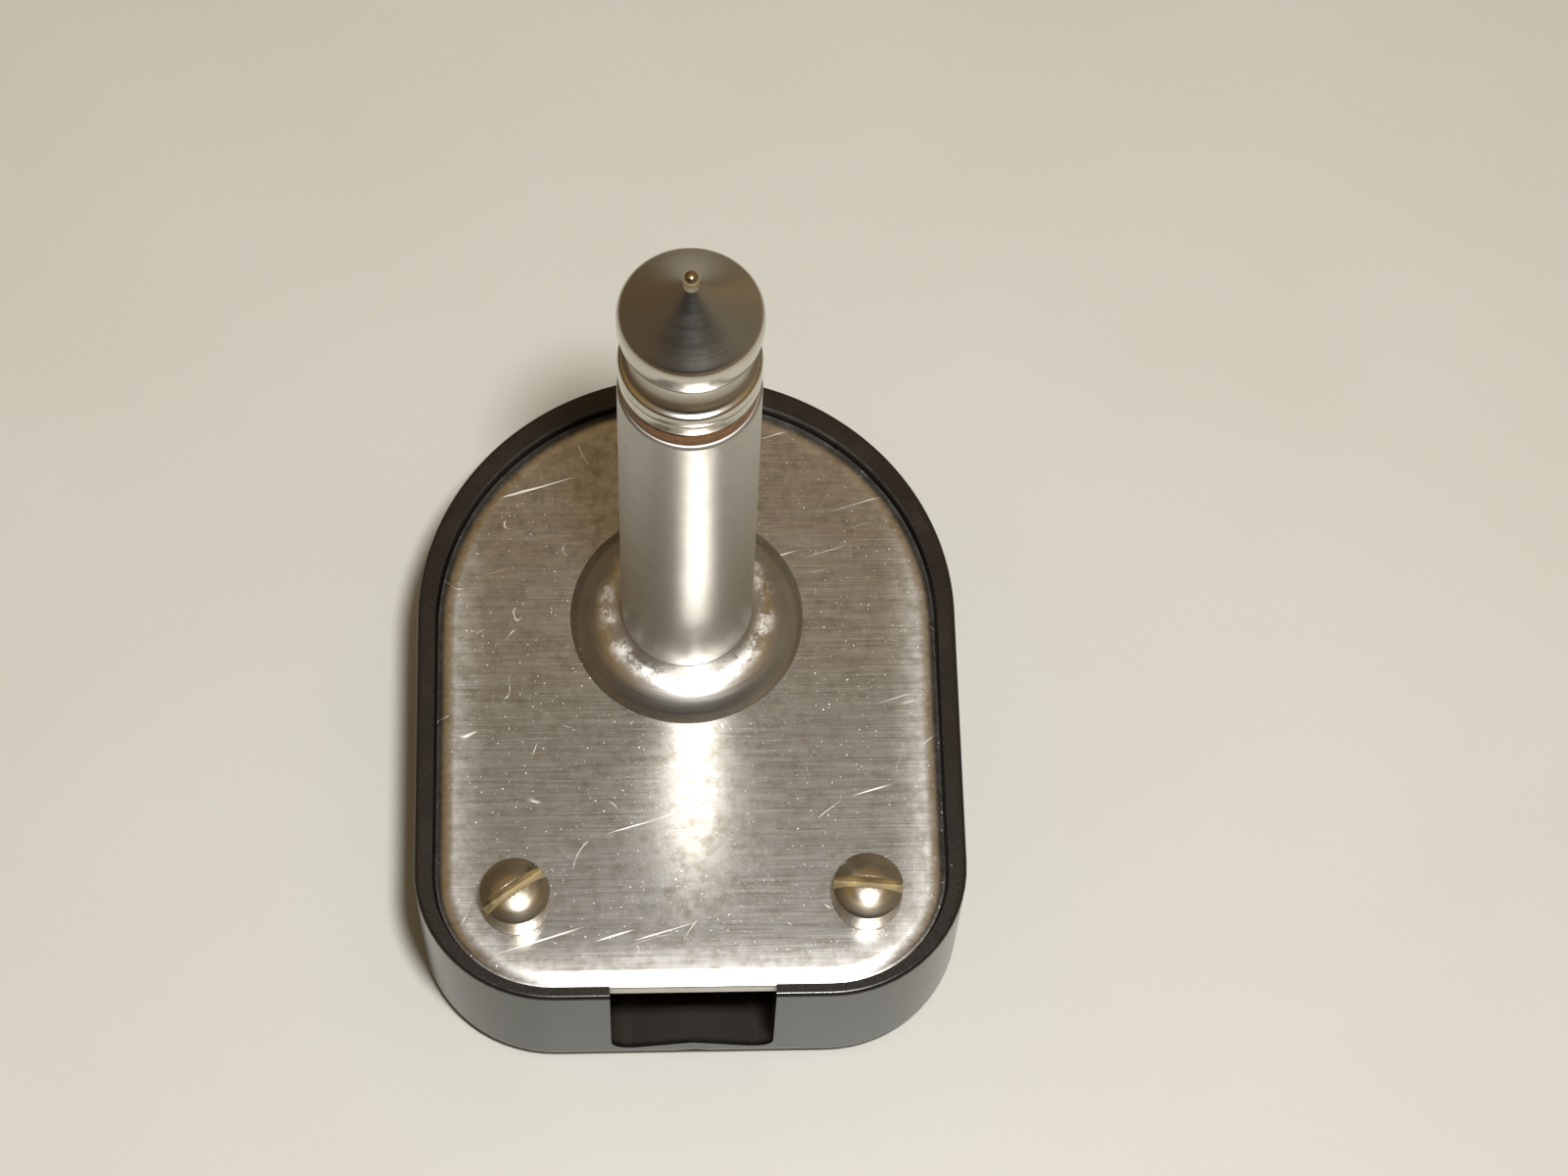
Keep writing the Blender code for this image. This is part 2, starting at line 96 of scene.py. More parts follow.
class Pick(Enum):
    """What a selection takes in edit mode, with the name of the mesh's list of it."""

    VERT = "verts"
    EDGE = "edges"
    FACE = "faces"


class Side(Enum):
    """The two screws, with the side of the plate that each one is on."""

    LEFT = "left"
    RIGHT = "right"

    @property
    def node(self) -> str:
        """The name of the screw's solid and of its body."""
        return f"screw_{self.value}"


class Cut(Enum):
    """What a helper shape does to the piece that it is set against."""

    AWAY = "DIFFERENCE"
    JOIN = "UNION"


# The angle in degrees that each screw's slot stopped at
SLOT_ANGLES = {Side.LEFT: 34.0, Side.RIGHT: -5.0}


def select_nothing() -> None:
    """Leaves edit mode and deselects every object."""
    if bpy.context.object and bpy.context.object.mode != "OBJECT":
        bpy.ops.object.mode_set(mode="OBJECT")
    bpy.ops.object.select_all(action="DESELECT")


def select_only(piece: Piece) -> None:
    """Makes a piece the only one selected, and the active one.

    Args:
        piece: The piece.
    """
    select_nothing()
    bpy.context.view_layer.objects.active = piece
    piece.select_set(True)


def begin(name: str) -> Piece:
    """Names the primitive just added, puts its place in its mesh and opens it in edit mode.

    Args:
        name: The piece's name.

    Returns:
        The piece, with nothing selected in it.
    """
    piece = bpy.context.object
    piece.name = name
    piece.data.name = name
    bpy.ops.object.transform_apply(location=True, rotation=True, scale=True)
    bpy.ops.object.mode_set(mode="EDIT")
    bpy.ops.mesh.select_all(action="DESELECT")
    return piece


def pick(piece: Piece, what: Pick, test: Test) -> None:
    """Selects what lies wholly where a test holds.

    Args:
        piece: The piece in edit mode.
        what: Vertices, edges or faces.
        test: Says whether a place belongs to the selection.
    """
    bpy.ops.mesh.select_mode(type=what.name)
    bpy.ops.mesh.select_all(action="DESELECT")
    shape = bmesh.from_edit_mesh(piece.data)
    for item in getattr(shape, what.value):
        verts = [item] if what is Pick.VERT else item.verts
        item.select_set(all(test(vert.co) for vert in verts))
    bmesh.update_edit_mesh(piece.data)


def settle(piece: Piece) -> Piece:
    """Merges doubles, turns the faces outwards and smooths what is round.

    Args:
        piece: The piece, in edit or object mode.

    Returns:
        The finished piece in object mode.
    """
    select_only(piece)
    bpy.ops.object.mode_set(mode="EDIT")
    bpy.ops.mesh.select_all(action="SELECT")
    bpy.ops.mesh.remove_doubles(threshold=MERGE)
    bpy.ops.mesh.normals_make_consistent(inside=False)
    bpy.ops.object.mode_set(mode="OBJECT")
    bpy.ops.object.shade_smooth_by_angle(angle=SHARP_ANGLE)
    weigh = piece.modifiers.new("flat_faces_stay_flat", "WEIGHTED_NORMAL")
    weigh.keep_sharp = True
    bpy.ops.object.modifier_apply(modifier=weigh.name)
    return piece


def shape_with(piece: Piece, cut: Cut, helper: Piece) -> None:
    """Cuts a helper shape from a piece or joins it on, then removes the helper.

    Args:
        piece: The piece that is shaped.
        cut: Whether the helper is taken away or joined.
        helper: The helper shape.
    """
    select_only(piece)
    modifier = piece.modifiers.new(helper.name, "BOOLEAN")
    modifier.operation = cut.value
    modifier.object = helper
    modifier.solver = "EXACT"
    bpy.ops.object.modifier_apply(modifier=modifier.name)
    bpy.data.objects.remove(helper, do_unlink=True)


def arc(centre: Point, radius: float, start: float, end: float, steps: int = CURVE_STEPS) -> Profile:
    """Points on an arc.

    Args:
        centre: The arc's centre.
        radius: Its radius.
        start: The first angle in degrees.
        end: The last angle in degrees.
        steps: How many steps it has.

    Returns:
        The points from the first angle to the last.
    """
    points = []
    for step in range(steps + 1):
        angle = math.radians(start + (end - start) * step / steps)
        points.append((centre[0] + radius * math.cos(angle), centre[1] + radius * math.sin(angle)))
    return points


def bulge(start: Point, end: Point, swell: float, steps: int = CURVE_STEPS) -> Profile:
    """Points that swell out on the way from one place to another, or draw in where the swell is negative.

    Args:
        start: The first point.
        end: The last point.
        swell: How far the middle stands off the straight line.
        steps: How many steps the curve has.

    Returns:
        The points of the curve.
    """
    run = Vector(end) - Vector(start)
    outward = Vector((-run.y, run.x)).normalized()
    points = []
    for step in range(steps + 1):
        share = step / steps
        points.append(tuple(Vector(start) + run * share + outward * swell * 4 * share * (1 - share)))
    return points


def eased(profile: Profile, radius: float) -> Profile:
    """Rounds the corners of a profile.

    Args:
        profile: The (radius, height) pairs of a turned piece.
        radius: How far the rounding reaches along each side of a corner.

    Returns:
        The profile with a short curve for each corner.
    """
    points = [Vector(point) for point in profile]
    result = [points[0]]
    for before, corner, after in zip(points, points[1:], points[2:]):
        back = before - corner
        onward = after - corner
        if back.length < NEAR or onward.length < NEAR or back.angle(onward) > STRAIGHT:
            result.append(corner)
            continue
        start = corner + back.normalized() * min(radius, back.length * EASE_SHARE)
        end = corner + onward.normalized() * min(radius, onward.length * EASE_SHARE)
        for step in range(EASE_STEPS + 1):
            share = step / EASE_STEPS
            result.append(start.lerp(corner, share).lerp(corner.lerp(end, share), share))
    result.append(points[-1])
    return [tuple(point) for point in result]


def turned(name: str, profile: Profile, axis: Vector, steps: int, ring: bool = False) -> Piece:
    """Turns a profile about a vertical axis, ring by ring from a circle.

    Args:
        name: The piece's name.
        profile: The (radius, height) pairs, in order. A ring's profile ends where it starts.
        axis: A point on the axis.
        steps: How many sides a ring has.
        ring: Whether the piece has a hole along its axis. Otherwise both ends are capped.

    Returns:
        The piece in edit mode.
    """
    select_nothing()
    radius, height = profile[0]
    place = (axis.x, axis.y, height)
    fill = "NOTHING" if ring else "NGON"
    bpy.ops.mesh.primitive_circle_add(vertices=steps, radius=radius, fill_type=fill, location=place)
    piece = begin(name)
    bpy.ops.mesh.select_mode(type="EDGE")
    bpy.ops.mesh.select_all(action="SELECT")
    if not ring:
        bpy.ops.mesh.region_to_loop()
    for (last_radius, last_height), (radius, height) in zip(profile, profile[1:]):
        rise = (0.0, 0.0, height - last_height)
        bpy.ops.mesh.extrude_edges_move(TRANSFORM_OT_translate={"value": rise})
        grow = radius / last_radius
        centre = (axis.x, axis.y, height)
        bpy.ops.transform.resize(value=(grow, grow, 1.0), center_override=centre)
    if not ring:
        bpy.ops.mesh.edge_face_add()
    bpy.ops.mesh.select_all(action="SELECT")
    bpy.ops.mesh.normals_make_consistent(inside=False)
    return piece


def disc(name: str, radius: float, low: float, high: float, axis: Vector) -> Piece:
    """A plain round helper shape between two heights."""
    return turned(name, [(radius, low), (radius, high)], axis, SCREW_STEPS)


def slab(name: str, low: Vector, high: Vector) -> Piece:
    """A box between two corners.

    Args:
        name: The piece's name.
        low: The corner with the lowest coordinates.
        high: The corner with the highest coordinates.

    Returns:
        The box in edit mode.
    """
    select_nothing()
    bpy.ops.mesh.primitive_cube_add(size=1.0, location=(low + high) / 2, scale=high - low)
    return begin(name)


def split_at(places: Iterable[float]) -> None:
    """Splits the shape in edit mode across X.

    Args:
        places: Where along X it is split.
    """
    for x in places:
        bpy.ops.mesh.select_all(action="SELECT")
        bpy.ops.mesh.bisect(plane_co=(x, 0.0, 0.0), plane_no=(1.0, 0.0, 0.0))


def round_edges(piece: Piece, test: Test, radius: float, segments: int) -> None:
    """Rounds the edges that lie where a test holds.

    Args:
        piece: The piece in edit mode.
        test: Says whether a place belongs to the edges.
        radius: The rounding's radius.
        segments: How many faces the rounding has.
    """
    pick(piece, Pick.EDGE, test)
    bpy.ops.mesh.bevel(
        offset=radius, offset_type="OFFSET", segments=segments, affect="EDGES", clamp_overlap=True
    )


@dataclass(frozen=True)
class Outline:
    """The body's outline seen from above: a round back, straight sides and round front corners.

    Attributes:
        half: Half of the width.
        front: The front's place along Y.
        back: The back's place along Y.
        corner: The radius of the front corners.
    """

    half: float
    front: float
    back: float
    corner: float

    def drawn_in(self, inset: float, forward: float = 0.0) -> "Outline":
        """The same outline, drawn in by a distance and moved forward.

        Args:
            inset: How far it is drawn in all round.
            forward: How far it is moved forward.

        Returns:
            The smaller outline.
        """
        front = self.front + inset - forward
        back = self.back - inset - forward
        return Outline(self.half - inset, front, back, self.corner - inset)

    def block(self, name: str, low: float, high: float) -> Piece:
        """A solid with this outline.

        Args:
            name: The piece's name.
            low: The height of its underside.
            high: The height of its top.

        Returns:
            The solid in edit mode.
        """
        piece = slab(name, Vector((-self.half, self.front, low)), Vector((self.half, self.back, high)))
        rounds = ((self.back, self.half, BACK_SEGMENTS), (self.front, self.corner, CORNER_SEGMENTS))
        for y, radius, segments in rounds:
            for x in (-self.half, self.half):
                corner = Vector((x, y))
                round_edges(piece, lambda place: (place.xy - corner).length < NEAR, radius, segments)
        bpy.ops.mesh.select_all(action="SELECT")
        bpy.ops.mesh.remove_doubles(threshold=MERGE)
        return piece

    def nearness(self, tree: Tree, coords: Socket, band: float, front_share: float = 1.0) -> Socket:
        """How near a place is to the outline, worked out in a material.

        Args:
            tree: The material's tree.
            coords: The piece's coordinates.
            band: The depth at which nearness ends.
            front_share: What share of its real depth a place behind the front counts as.

        Returns:
            1 on the outline, falling to 0 at the band's depth.
        """
        axes = add_node(tree, "SeparateXYZ", {}, {"Vector": coords})
        x, y = axes.outputs["X"], axes.outputs["Y"]
        behind = maths(tree, "MAXIMUM", maths(tree, "SUBTRACT", y, self.back - self.half), 0.0)
        past_side = maths(tree, "SUBTRACT", maths(tree, "ABSOLUTE", x), self.half - self.corner)
        across = maths(tree, "MAXIMUM", past_side, 0.0)
        ahead = maths(tree, "MAXIMUM", maths(tree, "SUBTRACT", self.front + self.corner, y), 0.0)
        depths = []
        arms = ((x, behind, self.half, 1.0), (across, ahead, self.corner, front_share))
        for sideways, lengthways, radius, share in arms:
            arm = add_node(tree, "CombineXYZ", {}, {"X": sideways, "Y": lengthways}).outputs["Vector"]
            depths.append(maths(tree, "MULTIPLY_ADD", length(tree, arm), -share, radius * share))
        return ramp(tree, maths(tree, "MINIMUM", *depths), 0.0, band, 1.0, 0.0, smooth=True)


def linear(colour: str) -> tuple[float, float, float, float]:
    """Turns an sRGB hex colour to linear values.

    Args:
        colour: Six hex digits after a hash sign.

    Returns:
        Red, green, blue and a full alpha.
    """
    values = []
    for start in (1, 3, 5):
        share = int(colour[start : start + 2], 16) / 255
        values.append(share / 12.92 if share <= 0.04045 else ((share + 0.055) / 1.055) ** 2.4)
    return (values[0], values[1], values[2], 1.0)


def per_size(millimetres: float) -> float:
    """The scale of a pattern on coordinates in metres whose features are this size."""
    return 1000.0 / millimetres


def set_inputs(tree: Tree, node: bpy.types.Node, inputs: dict[str, Any]) -> None:
    """Links a node's inputs, or sets them to values of their own.

    Args:
        tree: The node's tree.
        node: The node.
        inputs: Values and linked outputs by the input's identifier.
    """
    sockets = {socket.identifier: socket for socket in node.inputs}
    for name, value in inputs.items():
        if isinstance(value, Socket):
            tree.links.new(value, sockets[name])
        else:
            sockets[name].default_value = value


def add_node(tree: Tree, kind: str, settings: dict[str, Any], inputs: dict[str, Any]) -> bpy.types.Node:
    """Adds a node, sets it and links it.

    Args:
        tree: The tree that the node joins.
        kind: The node's type after the word ShaderNode.
        settings: The node's own settings by name.
        inputs: Values and linked outputs by the input's identifier.

    Returns:
        The node.
    """
    node = tree.nodes.new("ShaderNode" + kind)
    for name, value in settings.items():
        setattr(node, name, value)
    set_inputs(tree, node, inputs)
    return node


def maths(tree: Tree, operation: str, *values: Value) -> Socket:
    """The result of an operation on values, in their order."""
    inputs = dict(zip(("Value", "Value_001", "Value_002"), values))
    return add_node(tree, "Math", {"operation": operation}, inputs).outputs["Value"]


def length(tree: Tree, vector: Socket) -> Socket:
    """The length of a vector."""
    return add_node(tree, "VectorMath", {"operation": "LENGTH"}, {"Vector": vector}).outputs["Value"]


def ramp(
    tree: Tree,
    value: Socket,
    start: float,
    end: float,
    low: float = 0.0,
    high: float = 1.0,
    smooth: bool = False,
) -> Socket:
    """Turns values between the start and the end to ones from low to high, held past both ends."""
    style = "SMOOTHSTEP" if smooth else "LINEAR"
    return add_node(tree, "MapRange", {"interpolation_type": style}, {
        "Value": value, "From Min": start, "From Max": end, "To Min": low, "To Max": high,
    }).outputs["Result"]


def noise(
    tree: Tree,
    coords: Socket,
    millimetres: float,
    detail: float,
    roughness: float = 0.5,
    distortion: float = 0.0,
) -> Socket:
    """A cloudy pattern with features of this size, mostly between 0.2 and 0.8."""
    return add_node(tree, "TexNoise", {}, {
        "Vector": coords, "Scale": per_size(millimetres), "Detail": detail,
        "Roughness": roughness, "Distortion": distortion,
    }).outputs[0]


def blend(tree: Tree, share: Socket, first: Colour, second: Colour) -> Socket:
    """The mix of two colours, which is the second one where the share is 1."""
    start, end = (linear(colour) if isinstance(colour, str) else colour for colour in (first, second))
    return add_node(tree, "Mix", {"data_type": "RGBA"}, {
        "Factor_Float": share, "A_Color": start, "B_Color": end,
    }).outputs[MIXED]


def relief(
    tree: Tree,
    height: Socket,
    depth: float,
    strength: float,
    under: Socket | None = None,
    invert: bool = False,
) -> Socket:
    """Gives a surface a fine relief.

    Args:
        tree: The tree.
        height: The pattern of its heights.
        depth: How deep it is.
        strength: How much of it shows.
        under: The relief that it lies on.
        invert: Whether high values are hollows.

    Returns:
        The surface's normal.
    """
    inputs = {"Height": height, "Distance": depth, "Strength": strength}
    if under is not None:
        inputs["Normal"] = under
    return add_node(tree, "Bump", {"invert": invert}, inputs).outputs["Normal"]


@dataclass(frozen=True)
class Finish:
    """A surface that pieces are dressed in."""

    name: str

    def surface(self) -> tuple[Material, Tree, bpy.types.Node, Socket]:
        """Starts a new material.

        Returns:
            The material, its tree, its shader and the coordinates of the piece that wears it.
        """
        material = bpy.data.materials.new(self.name)
        material.use_nodes = True
        tree = material.node_tree
        coords = add_node(tree, "TexCoord", {}, {}).outputs["Object"]
        return material, tree, tree.nodes["Principled BSDF"], coords

    def make(self) -> Material:
        """Makes the material."""
        raise NotImplementedError


@dataclass(frozen=True)
class BlackMoulding(Finish):
    """Black phenolic from a polished die: deep gloss, with a rim that handling has rubbed brown and nicked.

    The scuffs are drawn coarser than real ones, which are too fine to show.

    Attributes:
        outline: The moulding's outline, inside which the moulding is lightened as painted light, standing
            for light that bounces about inside the cup.
        rim_top: The height of the rim.
    """

    name: str = "pressed_black_phenolic"
    outline: Outline = field(kw_only=True)
    rim_top: float = field(kw_only=True)
    deep: str = "#0B0A09"
    # painted light: the lighter colour inside the cup stands for light bouncing about in it
    painted_inner_light: str = "#332E29"
    rubbed: str = "#1E1915"
    nicked: str = "#7C7266"
    skin: float = 0.0004
    rim_depth: float = 0.0005
    cloud_mm: float = 2.2
    cloud_range: Range = (0.3, 0.6)
    least_rub: float = 0.25
    nick_mm: float = 0.55
    nick_range: Range = (0.76, 0.8)
    nick_depth: float = 0.00006
    scuff_mm: float = 0.16
    scuff_range: Range = (0.35, 0.75)
    scuff_depth: float = 0.000002
    gloss: Range = (0.12, 0.3)
    rub_dulling: float = 0.12
    refraction: float = 1.52

    def make(self) -> Material:
        """Makes the gloss with its clouds, scuffs and nicks.

        Returns:
            The material.
        """
        material, tree, shader, coords = self.surface()
        height = add_node(tree, "SeparateXYZ", {}, {"Vector": coords}).outputs["Z"]
        rim = ramp(tree, height, self.rim_top - self.rim_depth, self.rim_top, smooth=True)
        cloud = noise(tree, coords, self.cloud_mm, detail=5.0)
        rub = maths(tree, "MULTIPLY", rim, ramp(tree, cloud, *self.cloud_range, low=self.least_rub))
        chip = ramp(tree, noise(tree, coords, self.nick_mm, detail=2.0), *self.nick_range)
        nick = maths(tree, "MULTIPLY", rim, chip)

        # Away from the outer skin the moulding is lightened: painted light for the light that bounces about
        # inside the cup and notch
        skin = self.outline.nearness(tree, coords, self.skin)
        clear = blend(tree, skin, self.painted_inner_light, self.deep)
        colour = blend(tree, nick, blend(tree, rub, clear, self.rubbed), self.nicked)

        scuff = noise(tree, coords, self.scuff_mm, detail=6.0, roughness=0.7)
        dull = ramp(tree, scuff, *self.scuff_range, *self.gloss)
        pits = relief(tree, nick, self.nick_depth, strength=1.0, invert=True)
        set_inputs(tree, shader, {
            "Base Color": colour,
            "Roughness": maths(tree, "MULTIPLY_ADD", rub, self.rub_dulling, dull),
            "Normal": relief(tree, scuff, self.scuff_depth, strength=0.5, under=pits),
            "IOR": self.refraction,
        })
        return material


@dataclass(frozen=True)
class NickelSheet(Finish):
    """Nickel-plated brass sheet, stamped and buffed across: a hazy mirror, clouded by tarnish and scratched.

    Buffing lines, specks and scratches are drawn coarser than real ones, which are too fine to show.

    Attributes:
        outline: The sheet's outline, along which its rolled edge is rubbed pale.
        band: How wide the rubbed edge is.
        front_share: What share of its depth a place behind the front counts as, which widens the band there.
        buffing: How far the buffing lines draw a reflection out along the plate.
    """

    name: str = "buffed_nickel_sheet"
    outline: Outline = field(kw_only=True)
    clean: str = "#D3D1CD"
    tarnished: str = "#A8A298"
    rubbed: str = "#CBC8C2"
    scratched: str = "#F4F1EA"
    patch_mm: float = 3.6
    patch_weight: float = 0.25
    cloud_mm: float = 0.6
    haze_range: Range = (0.54, 0.8)
    sparkle_mm: float = 0.13
    sparkle_range: Range = (0.7, 0.745)
    grain_mm: float = 0.08
    grain_stretch: float = 0.025
    grain_range: Range = (0.3, 0.7)
    ridge_depth: float = 0.000002
    scratch_mm: float = 0.3
    scratch_stretch: float = 0.035
    scratch_turn: float = math.radians(17.0)
    scratch_range: Range = (0.715, 0.76)
    groove_depth: float = 0.000006
    swirl_mm: float = 5.0
    swirl_width: float = 0.004
    break_mm: float = 2.0
    break_range: Range = (0.58, 0.66)
    band: float = 0.0012
    front_share: float = 0.42
    rub_range: Range = (0.3, 0.6)
    least_rub: float = 0.5
    roughness: Range = (0.185, 0.25)
    haze_dulling: float = 0.03
    rub_dulling: float = 0.2
    scratch_dulling: float = 0.22
    buffing: float = 0.46

    def scratches(self, tree: Tree, coords: Socket) -> Socket:
        """Stray scratches: long slanting ones, and short curved ones along a noise's middle level.

        Args:
            tree: The material's tree.
            coords: The piece's coordinates.

        Returns:
            1 on a scratch and 0 off it.
        """
        slanted = add_node(tree, "Mapping", {"vector_type": "TEXTURE"}, {
            "Vector": coords,
            "Rotation": (0.0, 0.0, self.scratch_turn),
            "Scale": (1.0 / self.scratch_stretch, 1.0, 1.0),
        }).outputs["Vector"]
        straight = ramp(tree, noise(tree, slanted, self.scratch_mm, detail=2.0), *self.scratch_range)
        swirl = noise(tree, coords, self.swirl_mm, detail=1.0, distortion=0.5)
        off = maths(tree, "ABSOLUTE", maths(tree, "SUBTRACT", swirl, 0.5))
        line = ramp(tree, off, 0.0, self.swirl_width, 1.0, 0.0)
        broken = ramp(tree, noise(tree, coords, self.break_mm, detail=3.0), *self.break_range)
        return maths(tree, "MAXIMUM", straight, maths(tree, "MULTIPLY", line, broken))

    def make(self) -> Material:
        """Makes the sheet with its tarnish, buffing lines, rubbed edge and scratches.

        Returns:
            The material.
        """
        material, tree, shader, coords = self.surface()
        patch = noise(tree, coords, self.patch_mm, detail=4.0)
        cloud = noise(tree, coords, self.cloud_mm, detail=6.0, roughness=0.68)
        haze = ramp(tree, maths(tree, "MULTIPLY_ADD", patch, self.patch_weight, cloud), *self.haze_range)
        base = blend(tree, haze, self.clean, self.tarnished)

        # The rolled edge is rubbed pale in patches
        edge = self.outline.nearness(tree, coords, self.band, self.front_share)
        rub = maths(tree, "MULTIPLY", edge, ramp(tree, cloud, *self.rub_range, 1.0, self.least_rub))
        edged = blend(tree, rub, base, self.rubbed)

        # Specks and scratches are pale and dull
        sparkle = ramp(tree, noise(tree, coords, self.sparkle_mm, detail=2.0), *self.sparkle_range)
        scratch = maths(tree, "MAXIMUM", sparkle, self.scratches(tree, coords))

        # Buffing lines run across the plate, and the tangent along it says which way they blur a reflection
        across = add_node(tree, "Mapping", {}, {"Vector": coords, "Scale": (self.grain_stretch, 1.0, 1.0)})
        grain = noise(tree, across.outputs["Vector"], self.grain_mm, detail=3.0, roughness=0.6)
        along = add_node(tree, "VectorTransform", {"convert_from": "OBJECT", "convert_to": "WORLD"}, {
            "Vector": (0.0, 1.0, 0.0),
        }).outputs["Vector"]
        rough = ramp(tree, grain, *self.grain_range, *self.roughness)
        dullings = ((haze, self.haze_dulling), (rub, self.rub_dulling), (scratch, self.scratch_dulling))
        for share, dulling in dullings:
            rough = maths(tree, "MULTIPLY_ADD", share, dulling, rough)
        ridges = relief(tree, grain, self.ridge_depth, strength=0.35)
        set_inputs(tree, shader, {
            "Base Color": blend(tree, scratch, edged, self.scratched),
            "Roughness": rough,
            "Normal": relief(tree, scratch, self.groove_depth, strength=0.6, under=ridges, invert=True),
            "Tangent": along,
            "Anisotropic": self.buffing,
            "Metallic": 1.0,
        })
        return material


@dataclass(frozen=True)
class TurnedMetal(Finish):
    """Metal turned on a lathe and plated or left bare: rings round its axis, with a cloudy film in places.

    Attributes:
        bright: The colour of the clean metal.
        dim: The colour where a film dulls it.
        bare: The colour of what shows where the plating is gone.
        bare_from: The height above which the plating is gone. By default it is above every piece.
        smooth: The least roughness of the turning rings.
        dull: Their greatest roughness.
        ring_mm: The spacing of the turning rings, drawn coarse enough to show.
        ring_squash: How far the rings' pattern is drawn out round the axis.
        axis: A point on the axis that the frost goes round.
        frost: The radii between which handling has frosted the metal. By default they are past every piece.
    """

    bright: str
    dim: str
    bare: str = "#B98F4E"
    bare_from: float = 1.0
    bare_fade: float = 0.0003
    smooth: float = 0.1
    dull: float = 0.24
    ring_mm: float = 0.14
    ring_squash: float = 0.02
    ring_range: Range = (0.35, 0.7)
    ring_depth: float = 0.0000015
    film_mm: float = 1.6
    film_range: Range = (0.42, 0.7)
    film_dulling: float = 0.05
    axis: Point = (0.0, 0.0)
    frost: Range = (1.0, 1.1)
    frosted: str = "#EDEAE3"
    frost_mm: float = 2.4
    frost_range: Range = (0.45, 0.56)
    frost_dulling: float = 0.4

    def frost_share(self, tree: Tree, coords: Socket) -> Socket:
        """How frosted the metal is at a distance from its axis, broken up by a noise.

        Args:
            tree: The material's tree.
            coords: The piece's coordinates.

        Returns:
            1 in the middle of the frosted band and 0 off it.
        """
        inner, outer = self.frost
        about = add_node(tree, "VectorMath", {"operation": "SUBTRACT"}, {
            "Vector": coords, "Vector_001": (*self.axis, 0.0),
        }).outputs["Vector"]
        flat = add_node(tree, "VectorMath", {"operation": "MULTIPLY"}, {
            "Vector": about, "Vector_001": (1.0, 1.0, 0.0),
        }).outputs["Vector"]
        off = maths(tree, "SUBTRACT", length(tree, flat), (inner + outer) / 2)
        away = maths(tree, "ABSOLUTE", off)
        band = ramp(tree, away, 0.0, (outer - inner) / 2, 1.0, 0.0, smooth=True)
        crust = noise(tree, coords, self.frost_mm, detail=10.0, roughness=0.82)
        return maths(tree, "MULTIPLY", band, ramp(tree, crust, *self.frost_range))

    def make(self) -> Material:
        """Makes the metal with its rings and film.

        Returns:
            The material.
        """
        material, tree, shader, coords = self.surface()
        film = ramp(tree, noise(tree, coords, self.film_mm, detail=6.0, roughness=0.6), *self.film_range)
        squash = (self.ring_squash, self.ring_squash, 1.0)
        around = add_node(tree, "Mapping", {}, {"Vector": coords, "Scale": squash}).outputs["Vector"]
        rings = noise(tree, around, self.ring_mm, detail=4.0, roughness=0.65)
        height = add_node(tree, "SeparateXYZ", {}, {"Vector": coords}).outputs["Z"]
        worn = ramp(tree, height, self.bare_from, self.bare_from + self.bare_fade, smooth=True)
        frost = self.frost_share(tree, coords)
        stripped = blend(tree, worn, blend(tree, film, self.bright, self.dim), self.bare)
        rough = ramp(tree, rings, *self.ring_range, self.smooth, self.dull)
        for share, dulling in ((film, self.film_dulling), (frost, self.frost_dulling)):
            rough = maths(tree, "MULTIPLY_ADD", share, dulling, rough)
        set_inputs(tree, shader, {
            "Base Color": blend(tree, frost, stripped, self.frosted),
            "Roughness": rough,
            "Normal": relief(tree, rings, self.ring_depth, strength=0.6),
            "Metallic": 1.0,
        })
        return material


@dataclass(frozen=True)
class BrownFibre(Finish):
    """Brown phenolic fibre, turned: dull, with dark and pale threads drawn coarser than real ones."""

    name: str = "turned_brown_fibre"
    dark: str = "#52361C"
    pale: str = "#9C6C36"
    thread_mm: float = 0.18
    thread_squash: tuple[float, float, float] = (0.4, 0.4, 1.5)
    thread_range: Range = (0.35, 0.65)
    thread_depth: float = 0.00001
    roughness: Range = (0.45, 0.7)

    def make(self) -> Material:
        """Makes the fibre.

        Returns:
            The material.
        """
        material, tree, shader, coords = self.surface()
        flat = add_node(tree, "Mapping", {}, {"Vector": coords, "Scale": self.thread_squash})
        threads = noise(tree, flat.outputs["Vector"], self.thread_mm, detail=5.0, roughness=0.65)
        set_inputs(tree, shader, {
            "Base Color": blend(tree, ramp(tree, threads, *self.thread_range), self.dark, self.pale),
            "Roughness": ramp(tree, threads, 0.0, 1.0, *self.roughness),
            "Normal": relief(tree, threads, self.thread_depth, strength=0.6),
        })
        return material


@dataclass(frozen=True)
class TableTop(Finish):
    """Pale laminate with a faint sheen and the slightest mottling."""

    name: str = "pale_laminate"
    light: str = "#DBDBD2"
    shaded: str = "#D4D3C9"
    mottle_mm: float = 14.0
    roughness: float = 0.38

    def make(self) -> Material:
        """Makes the table top.

        Returns:
            The material.
        """
        material, tree, shader, coords = self.surface()
        mottle = noise(tree, coords, self.mottle_mm, detail=4.0)
        set_inputs(tree, shader, {
            "Base Color": blend(tree, mottle, self.light, self.shaded),
            "Roughness": self.roughness,
        })
        return material


